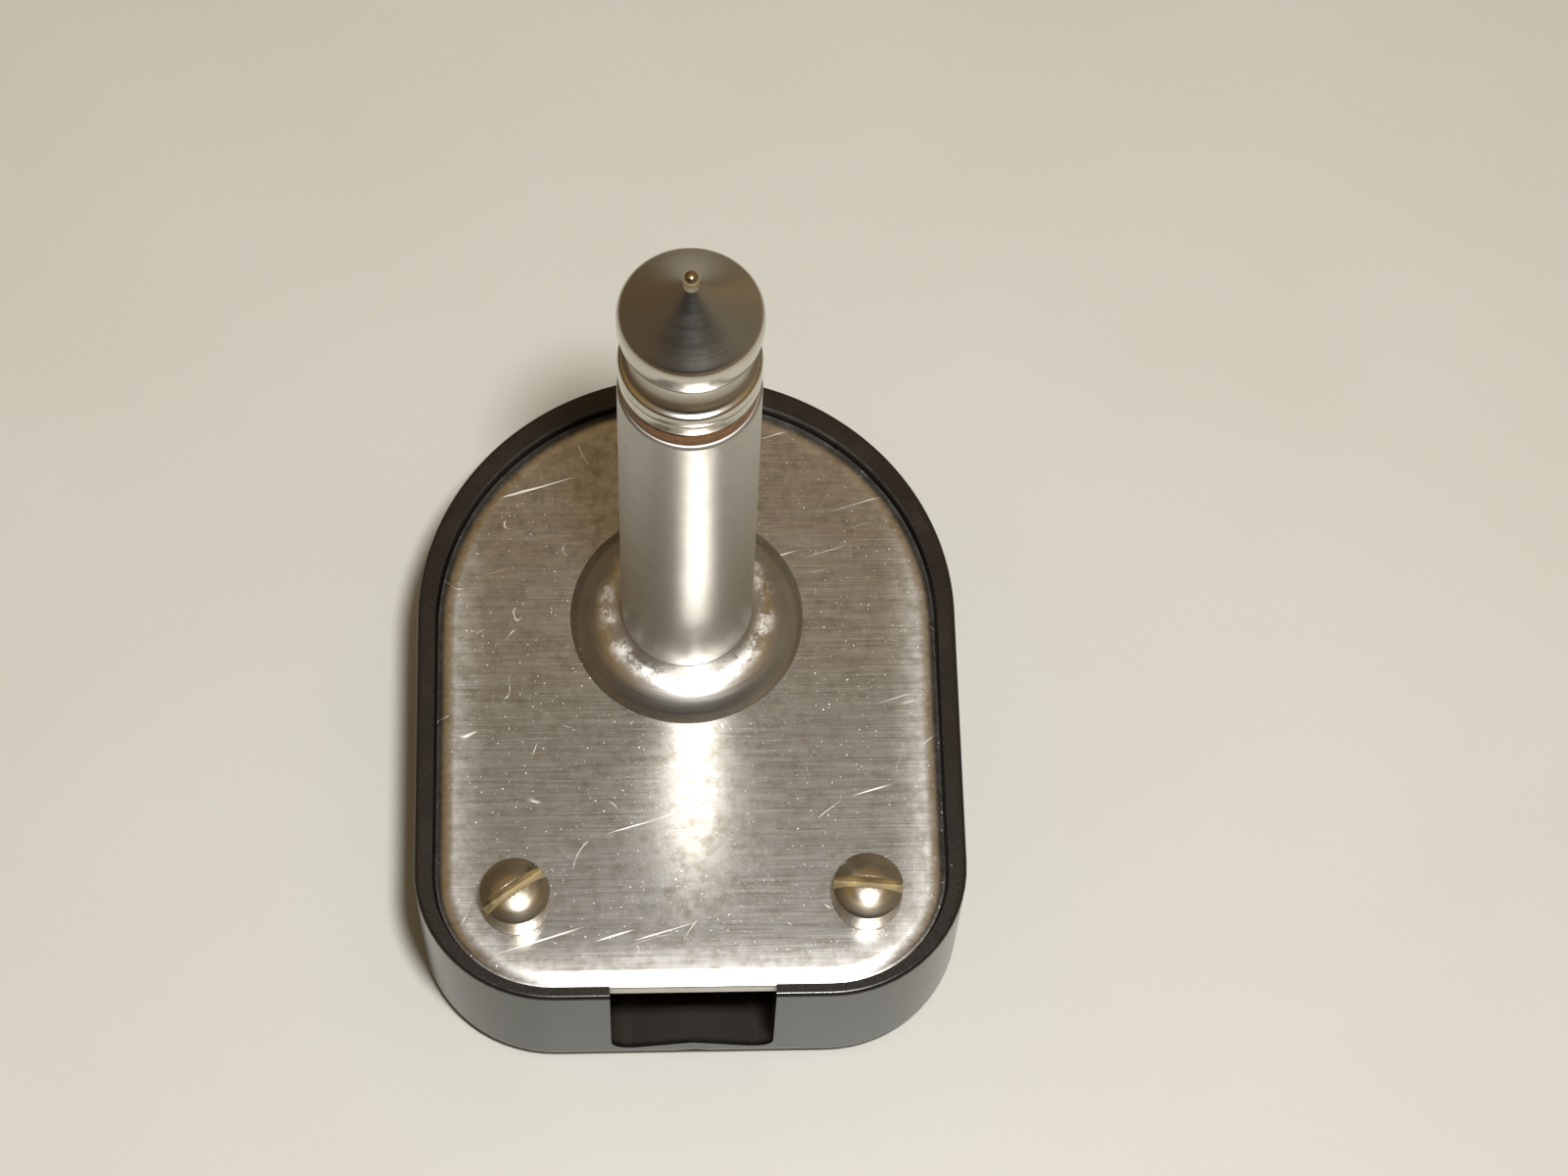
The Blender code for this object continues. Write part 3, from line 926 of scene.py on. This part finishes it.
BRIGHT_NICKEL = TurnedMetal("polished_nickel", "#BFBCB5", "#B7B3AB", smooth=0.4, dull=0.47)
COLLAR_NICKEL = TurnedMetal(
    "worn_nickel_collar", "#CFCCC7", "#B9B4AB",
    smooth=0.23, dull=0.32, frost=(0.0032, 0.0046),
)
TIP_NICKEL = TurnedMetal(
    "polished_nickel_tip", "#D0CBC1", "#C6C0B5", "#BBAA8A",
    bare_from=0.0414, smooth=0.17, dull=0.2, ring_depth=0.0000003,
)
SCREW_NICKEL = TurnedMetal("rubbed_nickel_on_brass", "#C6BFB0", "#B3A68D", smooth=0.22, dull=0.34)
# Darker, rougher brass for the screw slots: painted shade in the slot's recess
SLOT_PAINTED_SHADE = TurnedMetal("grimy_brass_slot", "#9C8E6E", "#5C4E36", smooth=0.4, dull=0.55)
PLAIN_BRASS = TurnedMetal("turned_brass", "#C9A25E", "#A07A3F", smooth=0.2, dull=0.4)
TINNED_BRASS = TurnedMetal("dull_tinned_brass", "#C4BFB3", "#9A9383", smooth=0.3, dull=0.5)


def dress(piece: Piece, material: Material, body: str, slot: str, *nodes: str) -> None:
    """Gives a piece its finish and says what it rides on and stands for.

    Args:
        piece: The finished piece.
        material: Its material.
        body: The body that it moves with.
        slot: The record's material slot. It is not used.
        nodes: The solids that it stands for.
    """
    piece.data.materials.clear()
    piece.data.materials.append(material)
    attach(piece, body)
    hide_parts(*nodes)
    LOG.info("%s: %d faces on %s", piece.name, len(piece.data.polygons), body)


@dataclass
class MouldedCup:
    """The moulded cup under the plate, with its rim, ledge, screw bosses, cable notch and ridged sill."""

    outline: Outline
    recess: Outline
    height: float
    ledge: float
    screws: list[Vector]
    wall: float = 0.0019
    floor: float = 0.0012
    under_round: float = 0.0009
    rim_round: float = 0.0002
    notch_half: float = 0.0039
    notch_sill: float = 0.0013
    notch_corner: float = 0.0008
    ridge_half: float = 0.00275
    ridge_height: float = 0.0006
    arch_half: float = 0.0029
    arch_height: float = 0.0009
    arch_length: float = 0.0035
    arch_steps: int = 10
    boss_radius: float = 0.0034
    insert_radius: float = 0.00175
    insert_depth: float = 0.0041
    pilot_radius: float = 0.0011
    pilot_depth: float = 0.0046
    gap: float = SEAT_GAP

    def build(self) -> Piece:
        """Models the cup.

        Returns:
            The finished piece.
        """
        cup = self.outline.block("moulded_cup", 0.0, self.height)
        round_edges(cup, lambda place: place.z < NEAR, self.under_round, EDGE_SEGMENTS)
        round_edges(cup, lambda place: place.z > self.height - NEAR, self.rim_round, EDGE_SEGMENTS)
        chamber = self.outline.drawn_in(self.wall).block("chamber", self.floor, self.height + CUT_PAST)
        shape_with(cup, Cut.AWAY, chamber)
        shape_with(cup, Cut.AWAY, self.recess.block("recess", self.ledge, self.height + CUT_PAST))
        top = self.ledge - self.gap
        bores = (
            ("seat", self.insert_radius, self.insert_depth),
            ("pilot", self.pilot_radius, self.pilot_depth),
        )
        for place in self.screws:
            shape_with(cup, Cut.JOIN, disc("boss", self.boss_radius, self.floor / 2, top, place))
            for name, radius, depth in bores:
                shape_with(cup, Cut.AWAY, disc(name, radius, top - depth, self.ledge + CUT_PAST / 2, place))
        shape_with(cup, Cut.AWAY, self.notch())
        shape_with(cup, Cut.AWAY, self.arch())
        return settle(cup)

    def notch(self) -> Piece:
        """The shape of the cable notch, with round lower corners and a ridge along its sill.

        Returns:
            The helper shape.
        """
        front = self.outline.front
        low = Vector((-self.notch_half, front - CUT_PAST, self.notch_sill))
        high = Vector((self.notch_half, front + self.wall + self.gap, self.height + CUT_PAST))
        notch = slab("notch", low, high)
        split_at((-self.ridge_half, 0.0, self.ridge_half))
        pick(notch, Pick.VERT, lambda place: abs(place.x) < NEAR and place.z < self.notch_sill + NEAR)
        bpy.ops.transform.translate(value=(0.0, 0.0, self.ridge_height))
        round_edges(
            notch,
            lambda place: abs(place.x) > self.notch_half - NEAR and place.z < self.notch_sill + NEAR,
            self.notch_corner,
            EDGE_SEGMENTS,
        )
        select_nothing()
        return notch

    def arch(self) -> Piece:
        """The shape of the shallow arch under the sill, highest at the front.

        Returns:
            The helper shape.
        """
        front = self.outline.front
        ends = (front - CUT_PAST, front + self.arch_length + CUT_PAST)
        low = Vector((-self.arch_half, ends[0], -CUT_PAST))
        high = Vector((self.arch_half, ends[1], -self.gap))
        arch = slab("arch", low, high)
        places = [self.arch_half * (2 * step / self.arch_steps - 1) for step in range(1, self.arch_steps)]
        split_at(places)
        for x in places:
            share = (x / self.arch_half + 1) / 2
            rise = (1 - math.cos(2 * math.pi * share)) / 2
            for end in ends:
                peak = self.arch_height * (front + self.arch_length - end) / self.arch_length
                pick(arch, Pick.VERT, lambda place: (
                    abs(place.x - x) < NEAR and abs(place.y - end) < NEAR and place.z > -CUT_PAST + NEAR
                ))
                bpy.ops.transform.translate(value=(0.0, 0.0, peak * rise))
        select_nothing()
        return arch

    def dress(self) -> None:
        """Builds the cup and gives it its finish."""
        finish = BlackMoulding(outline=self.outline, rim_top=self.height)
        dress(self.build(), finish.make(), "housing", "black_moulding", "housing")


@dataclass
class CoverPlate:
    """The stamped cover plate, with its shallow rolled edge and three holes."""

    outline: Outline
    low: float
    high: float
    axis: Vector
    screws: list[Vector]
    edge_round: float = 0.0001
    roll_width: float = 0.0008
    roll_drop: float = 0.0002
    roll_steps: int = 8
    tail_radius: float = 0.002825
    screw_hole: float = 0.00115

    def build(self) -> Piece:
        """Models the plate.

        Returns:
            The finished piece.
        """
        foot = self.high - self.roll_drop
        plate = self.outline.block("cover_sheet", self.low, foot)
        round_edges(plate, lambda place: place.z > foot - NEAR, self.edge_round, EDGE_SEGMENTS)
        pick(plate, Pick.FACE, lambda place: place.z > foot - NEAR)
        for step in range(self.roll_steps):
            rise = 1 - (step + 0.5) / self.roll_steps
            bpy.ops.mesh.inset(
                thickness=self.roll_width / self.roll_steps,
                depth=2 * self.roll_drop * rise / self.roll_steps,
                use_even_offset=True,
            )
        low, high = self.low - CUT_PAST, self.high + CUT_PAST
        shape_with(plate, Cut.AWAY, disc("tail_hole", self.tail_radius, low, high, self.axis))
        for place in self.screws:
            shape_with(plate, Cut.AWAY, disc("screw_hole", self.screw_hole, low, high, place))
        return settle(plate)

    def dress(self) -> None:
        """Builds the plate and gives it its finish."""
        finish = NickelSheet(outline=self.outline)
        dress(self.build(), finish.make(), "cover", "nickel_plate", "cover_plate")


@dataclass
class Finger:
    """The finger: collar, sleeve contact, the tip contact on its rod and the ring that insulates them.

    Attributes:
        tip_sides: The tip's rim, waist, shoulder and lip from the top down, as pairs of the inset from the
            finger's radius and the height above the tip's foot.
        dome_start: The angle above level, in degrees, of the first ring on the nipple's dome.
    """

    axis: Vector
    radius: float
    plate_top: float
    collar_radius: float
    collar_top: float
    sleeve_end: float
    sleeve_low: float
    ring_low: float
    ring_high: float
    tip_foot: float
    tip_low: float
    gap: float = SEAT_GAP
    overlap: float = 0.00002
    collar_land: float = 0.0006
    collar_swell: float = 0.0002
    edge: float = 0.00006
    tail_step: float = 0.0004
    flare_thickness: float = 0.0004
    sleeve_wall: float = 0.0010
    top_chamfer: float = 0.00012
    ring_recess: float = 0.00015
    ring_end: float = 0.0016
    rod_radius: float = 0.00115
    cone_height: float = 0.00215
    cone_hollow: float = 0.00005
    nipple_height: float = 0.0009
    nipple_radius: float = 0.00036
    dome_start: float = 86.0
    tip_ease: float = 0.00015
    tip_sides: tuple[tuple[float, float], ...] = (
        (0.00016, 0.0056), (0.00005, 0.00537), (0.00002, 0.0051), (0.00002, 0.0046), (0.00006, 0.0042),
        (0.00014, 0.0039), (0.00032, 0.00355), (0.00056, 0.00325), (0.00076, 0.003), (0.00083, 0.00275),
        (0.0008, 0.0025), (0.00072, 0.0023), (0.0006, 0.00204), (0.00046, 0.00181), (0.00036, 0.00171),
        (0.00026, 0.00165), (0.00016, 0.001615), (0.00009, 0.00157), (0.00005, 0.00148), (0.00003, 0.0013),
        (0.00003, 0.00102), (0.0001, 0.00097), (0.000045, 0.0009), (0.000045, 0.0002), (0.00025, 0.0),
    )
    rivet_radius: float = 0.0016
    rivet_height: float = 0.0004

    def turn_ring(self, name: str, profile: Profile) -> Piece:
        """Turns a piece that the rod goes through, with its edges eased."""
        return settle(turned(name, eased(profile, self.edge), self.axis, TURN_STEPS, ring=True))

    def build_collar(self) -> Piece:
        """Models the low domed collar, with a flat land next to the sleeve.

        Returns:
            The finished piece.
        """
        foot = self.plate_top + self.gap
        hole = self.radius - self.overlap
        land = self.radius + self.collar_land
        middle = (hole, (foot + self.collar_top) / 2)
        profile = [middle, (hole, self.collar_top)]
        profile += bulge((land, self.collar_top), (self.collar_radius, foot), self.collar_swell)
        profile += [(hole, foot), middle]
        return self.turn_ring("root_collar", profile)

    def build_sleeve(self) -> Piece:
        """Models the sleeve, whose thinner tail is flared under the plate.

        Returns:
            The finished piece.
        """
        tail = self.radius - self.tail_step
        bore = self.radius - self.sleeve_wall
        shoulder = self.plate_top + self.gap
        flare_top = self.sleeve_low + self.flare_thickness
        middle = (bore, (self.sleeve_low + self.sleeve_end) / 2)
        profile = [
            middle,
            (bore, self.sleeve_end),
            (self.radius - self.top_chamfer, self.sleeve_end),
            (self.radius, self.sleeve_end - self.top_chamfer),
            (self.radius, shoulder),
            (tail, shoulder),
            (tail, flare_top),
            (self.radius, flare_top),
            (self.radius, self.sleeve_low),
            (bore, self.sleeve_low),
            middle,
        ]
        return self.turn_ring("sleeve_contact", profile)

    def build_ring(self) -> Piece:
        """Models the insulating ring between sleeve and tip, with the spigot that goes into the sleeve.

        Returns:
            The finished piece.
        """
        outer = self.radius - self.ring_recess
        hole = self.rod_radius + self.gap
        spigot = self.radius - self.sleeve_wall - self.gap
        shelf = self.ring_low + self.ring_end
        middle = (hole, (self.ring_low + self.ring_high) / 2)
        profile = [middle, (hole, self.ring_high), (outer, self.ring_high), (outer, shelf), (spigot, shelf)]
        profile += [(spigot, self.ring_low), (hole, self.ring_low), middle]
        return self.turn_ring("tip_ring", profile)

    def build_tip(self) -> Piece:
        """Models the tip from its nipple to its foot, then its rod and riveted end.

        Returns:
            The finished piece.
        """
        nipple = self.nipple_radius
        sides = [(self.radius - inset, self.tip_foot + height) for inset, height in self.tip_sides]
        nipple_foot = sides[0][1] + self.cone_height
        dome_foot = nipple_foot + self.nipple_height - nipple
        rivet_top = self.tip_low + self.rivet_height
        body = bulge((nipple, nipple_foot), sides[0], -self.cone_hollow)[:-1] + sides
        body += [
            (self.rod_radius, self.tip_foot),
            (self.rod_radius, rivet_top),
            (self.rivet_radius, rivet_top),
            (self.rivet_radius - self.rivet_height / 2, self.tip_low),
        ]
        profile = arc((0.0, dome_foot), nipple, self.dome_start, 0.0) + eased(body, self.tip_ease)
        return settle(turned("tip_contact", profile, self.axis, TURN_STEPS))

    def dress(self, fibre: Material) -> None:
        """Builds the finger's pieces and gives each one its finish.

        Args:
            fibre: The material of the ring.
        """
        collar_nickel = replace(COLLAR_NICKEL, axis=(self.axis.x, self.axis.y))
        dress(self.build_collar(), collar_nickel.make(), "cover", "bright_nickel", "finger_collar")
        dress(self.build_sleeve(), BRIGHT_NICKEL.make(), "cover", "bright_nickel", "sleeve")
        dress(self.build_ring(), fibre, "cover", "brown_fibre", "tip_insulator")
        dress(self.build_tip(), TIP_NICKEL.make(), "cover", "bright_nickel", "tip_rod")


@dataclass
class PlateScrew:
    """A slotted screw with a domed head on a straight skirt, and a thread drawn as rings at its pitch."""

    side: Side
    axis: Vector
    seat: float
    top: float
    low: float
    head_radius: float
    slot_angle: float
    shank_radius: float = 0.00105
    thread_depth: float = 0.00022
    pitch: float = INCH / 56
    dome_height: float = 0.00055
    dome_swell: float = 0.00015
    slot_width: float = 0.00055
    slot_depth: float = 0.0009
    edge: float = 0.00002
    worn_edge: float = 0.00003
    worn_steps: int = 2
    worn_angle: float = math.radians(55.0)
    first_radius: float = 0.00002

    def build(self) -> Piece:
        """Models the screw.

        Returns:
            The finished piece.
        """
        skirt_top = self.top - self.dome_height
        profile = bulge((self.first_radius, self.top), (self.head_radius, skirt_top), self.dome_swell)
        profile += [(self.head_radius, self.seat), (self.shank_radius, self.seat)]
        turns = int((self.seat - self.low) / self.pitch)
        core = self.shank_radius - self.thread_depth
        for turn in range(turns):
            crest = self.seat - (turn + 1) * self.pitch
            profile += [(core, crest + self.pitch / 2), (self.shank_radius, crest)]
        profile += [(core, self.low)]
        screw = turned(f"plate_screw_{self.side.value}", eased(profile, self.edge), self.axis, SCREW_STEPS)
        shape_with(screw, Cut.AWAY, self.slot())
        wear = screw.modifiers.new("worn_edges", "BEVEL")
        wear.width = self.worn_edge
        wear.segments = self.worn_steps
        wear.angle_limit = self.worn_angle
        bpy.ops.object.modifier_apply(modifier=wear.name)
        return settle(screw)

    def dress(self, metal: Material, slot_shade: Material) -> None:
        """Builds the screw and gives it its metal, and its slot a darker, rougher brass as painted shade.

        Args:
            metal: The material of the head and thread.
            slot_shade: The material of the slot: darker, rougher brass as painted shade.
        """
        screw = self.build()
        dress(screw, metal, self.side.node, "worn_screw", self.side.node)
        # The slot's faces take the darker brass, as painted shade
        screw.data.materials.append(slot_shade)
        turn = math.radians(self.slot_angle)
        across = Vector((-math.sin(turn), math.cos(turn), 0.0))
        for face in screw.data.polygons:
            off = abs(across.dot(face.center - self.axis))
            if off < self.slot_width / 2 + NEAR and face.center.z > self.top - self.slot_depth - NEAR:
                face.material_index = 1

    def slot(self) -> Piece:
        """The shape of the driver's slot, at the angle that the screw stopped at.

        Returns:
            The helper shape.
        """
        reach = self.head_radius + self.edge
        floor = self.top - self.slot_depth
        low = Vector((-reach, -self.slot_width / 2, floor))
        high = Vector((reach, self.slot_width / 2, self.top + CUT_PAST))
        slot = slab("slot", low, high)
        bpy.ops.object.mode_set(mode="OBJECT")
        slot.rotation_euler.z = math.radians(self.slot_angle)
        slot.location = (self.axis.x, self.axis.y, 0.0)
        bpy.ops.object.transform_apply(location=True, rotation=True)
        return slot


@dataclass
class InnerStack:
    """What the cup hides: the inserts, the terminals, the bush, the rod's tube and the rivet's washer."""

    brass: tuple[str, ...] = ("insert_left", "insert_right", "rivet_washer")
    tinned: tuple[str, ...] = ("tip_terminal", "ground_terminal")
    fibre: tuple[str, ...] = ("rod_tube", "rear_bush")

    def dress(self, fibre: Material) -> None:
        """Gives each solid that stays its finish.

        Args:
            fibre: The material of the insulation.
        """
        brass = PLAIN_BRASS.make()
        tinned = TINNED_BRASS.make()
        for names, material in ((self.brass, brass), (self.tinned, tinned), (self.fibre, fibre)):
            for name in names:
                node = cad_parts[name]
                node.data.materials.clear()
                node.data.materials.append(material)
                LOG.info("%s keeps its solid", name)


@dataclass
class Studio:
    """The table, the light and the camera, at the photograph's viewing angle."""

    floor_size: float = 3.0
    floor_drop: float = 0.00002
    camera_place: tuple[float, float, float] = (-0.00224, -0.07591, 0.18257)
    yaw: float = 0.087
    pitch: float = 1.136
    roll: float = 0.067
    lens: float = 90.0
    sensor: float = 36.0
    clip: float = 0.005
    lamp_shift: tuple[float, float, float] = (0.02, 0.027, 0.0)
    lamp_size: float = 0.024
    lamp_power: float = 0.36
    skirting: str = "#8C7B60"
    walls: str = "#7C7364"
    dim_side: str = "#4A3417"
    ceiling: str = "#A5844B"
    strip: str = "#56401D"
    zenith: str = "#908F8A"
    viewer: str = "#27292B"
    viewer_front: Range = (-0.1, -0.8)
    viewer_raised: Range = (0.3, 0.55)

    def camera_axes(self) -> tuple[Vector, Vector, Vector]:
        """The camera's own axes, from its turns about them.

        Returns:
            Its right, up and forward directions.
        """
        forward = Vector((
            math.sin(self.yaw) * math.cos(self.pitch),
            math.cos(self.yaw) * math.cos(self.pitch),
            -math.sin(self.pitch),
        ))
        level = Vector((math.cos(self.yaw), -math.sin(self.yaw), 0.0))
        above = level.cross(forward)
        right = level * math.cos(self.roll) + above * math.sin(self.roll)
        up = above * math.cos(self.roll) - level * math.sin(self.roll)
        return right, up, forward

    def set_camera(self) -> None:
        """Makes the camera."""
        right, up, forward = self.camera_axes()
        data = bpy.data.cameras.new("photo_camera")
        data.lens = self.lens
        data.sensor_width = self.sensor
        data.clip_start = self.clip
        camera = bpy.data.objects.new("photo_camera", data)
        turn = Matrix((right, up, -forward)).transposed().to_4x4()
        camera.matrix_world = Matrix.Translation(self.camera_place) @ turn
        bpy.context.scene.collection.objects.link(camera)
        bpy.context.scene.camera = camera

    def lay_table(self) -> None:
        """Lays the table top."""
        select_nothing()
        bpy.ops.mesh.primitive_plane_add(size=self.floor_size, location=(0.0, 0.0, -self.floor_drop))
        table = begin("table_top")
        bpy.ops.object.mode_set(mode="OBJECT")
        table.data.materials.append(TableTop().make())

    def hang_lamp(self) -> None:
        """Hangs a soft lamp beside the camera, turned to the origin."""
        right, up, forward = self.camera_axes()
        data = bpy.data.lights.new("soft_lamp", "AREA")
        data.shape = "DISK"
        data.size = self.lamp_size
        data.energy = self.lamp_power
        lamp = bpy.data.objects.new("soft_lamp", data)
        x, y, z = self.lamp_shift
        place = Vector(self.camera_place) + right * x + up * y + forward * z
        turn = place.to_track_quat("Z", "Y").to_matrix().to_4x4()
        lamp.matrix_world = Matrix.Translation(place) @ turn
        bpy.context.scene.collection.objects.link(lamp)

    def light_room(self) -> None:
        """Lights the room: dim walls, darker on the left, a warm ceiling and a dark patch for the viewer."""
        world = bpy.data.worlds.new("room")
        bpy.context.scene.world = world
        world.use_nodes = True
        tree = world.node_tree
        direction = add_node(tree, "TexCoord", {}, {}).outputs["Generated"]
        axes = add_node(tree, "SeparateXYZ", {}, {"Vector": direction})

        # Each shade comes in along an axis of the view's direction, between two places, up to a full share
        colour: Colour = self.skirting
        for axis, start, end, most, shade in (
            ("Z", 0.05, 0.4, 1.0, self.walls),
            ("X", 0.25, -0.4, 0.6, self.dim_side),
            ("Z", 0.6, 0.82, 1.0, self.ceiling),
            ("Z", 0.875, 0.9, 1.0, self.strip),
            ("Z", 0.912, 0.938, 1.0, self.zenith),
        ):
            share = ramp(tree, axes.outputs[axis], start, end, high=most, smooth=True)
            colour = blend(tree, share, colour, shade)
        front = ramp(tree, axes.outputs["Y"], *self.viewer_front, smooth=True)
        raised = ramp(tree, axes.outputs["Z"], *self.viewer_raised, smooth=True)
        colour = blend(tree, maths(tree, "MULTIPLY", front, raised), colour, self.viewer)
        tree.links.new(colour, tree.nodes["Background"].inputs["Color"])

    def build(self) -> None:
        """Sets up the whole studio."""
        self.lay_table()
        self.set_camera()
        self.hang_lamp()
        self.light_room()
        bpy.context.scene.view_settings.view_transform = "Standard"


def middle_of(node: str) -> Vector:
    """The middle of a solid's box."""
    low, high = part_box(node)
    return (low + high) / 2


def main() -> None:
    """Builds and dresses every sub-assembly in order."""
    logging.basicConfig(level=logging.INFO, format="%(message)s")
    Studio().build()

    cup_low, cup_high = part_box("housing")
    plate_low, plate_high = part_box("cover_plate")
    sleeve_low, sleeve_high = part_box("sleeve")
    ring_low, ring_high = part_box("tip_insulator")
    collar_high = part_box("finger_collar")[1]
    axis = middle_of("sleeve")
    screw_places = {side: middle_of(side.node) for side in Side}
    places = list(screw_places.values())

    outline = Outline(cup_high.x, cup_low.y, cup_high.y, CORNER_RADIUS)
    inset = outline.half - plate_high.x
    forward = outline.front + inset - plate_low.y
    recess = outline.drawn_in(inset - 2 * SEAT_GAP, forward)
    MouldedCup(outline, recess, cup_high.z, plate_low.z - SEAT_GAP, places).dress()
    CoverPlate(outline.drawn_in(inset, forward), plate_low.z, plate_high.z, axis, places).dress()

    fibre = BrownFibre().make()
    finger = Finger(
        axis=axis,
        radius=sleeve_high.x - axis.x,
        plate_top=plate_high.z,
        collar_radius=collar_high.x - axis.x,
        collar_top=collar_high.z,
        sleeve_end=sleeve_high.z,
        sleeve_low=sleeve_low.z,
        ring_low=ring_low.z,
        ring_high=ring_high.z,
        tip_foot=ring_high.z + SEAT_GAP,
        tip_low=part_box("tip_rod")[0].z,
    )
    finger.dress(fibre)

    screw_metal = SCREW_NICKEL.make()
    # The slots' darker brass is painted shade
    slot_shade = SLOT_PAINTED_SHADE.make()
    for side in Side:
        low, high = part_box(side.node)
        screw = PlateScrew(
            side=side,
            axis=screw_places[side],
            seat=plate_high.z + SEAT_GAP,
            top=high.z,
            low=low.z,
            head_radius=(high.x - low.x) / 2,
            slot_angle=SLOT_ANGLES[side],
        )
        screw.dress(screw_metal, slot_shade)
    InnerStack().dress(fibre)


if __name__ == "__main__":
    main()
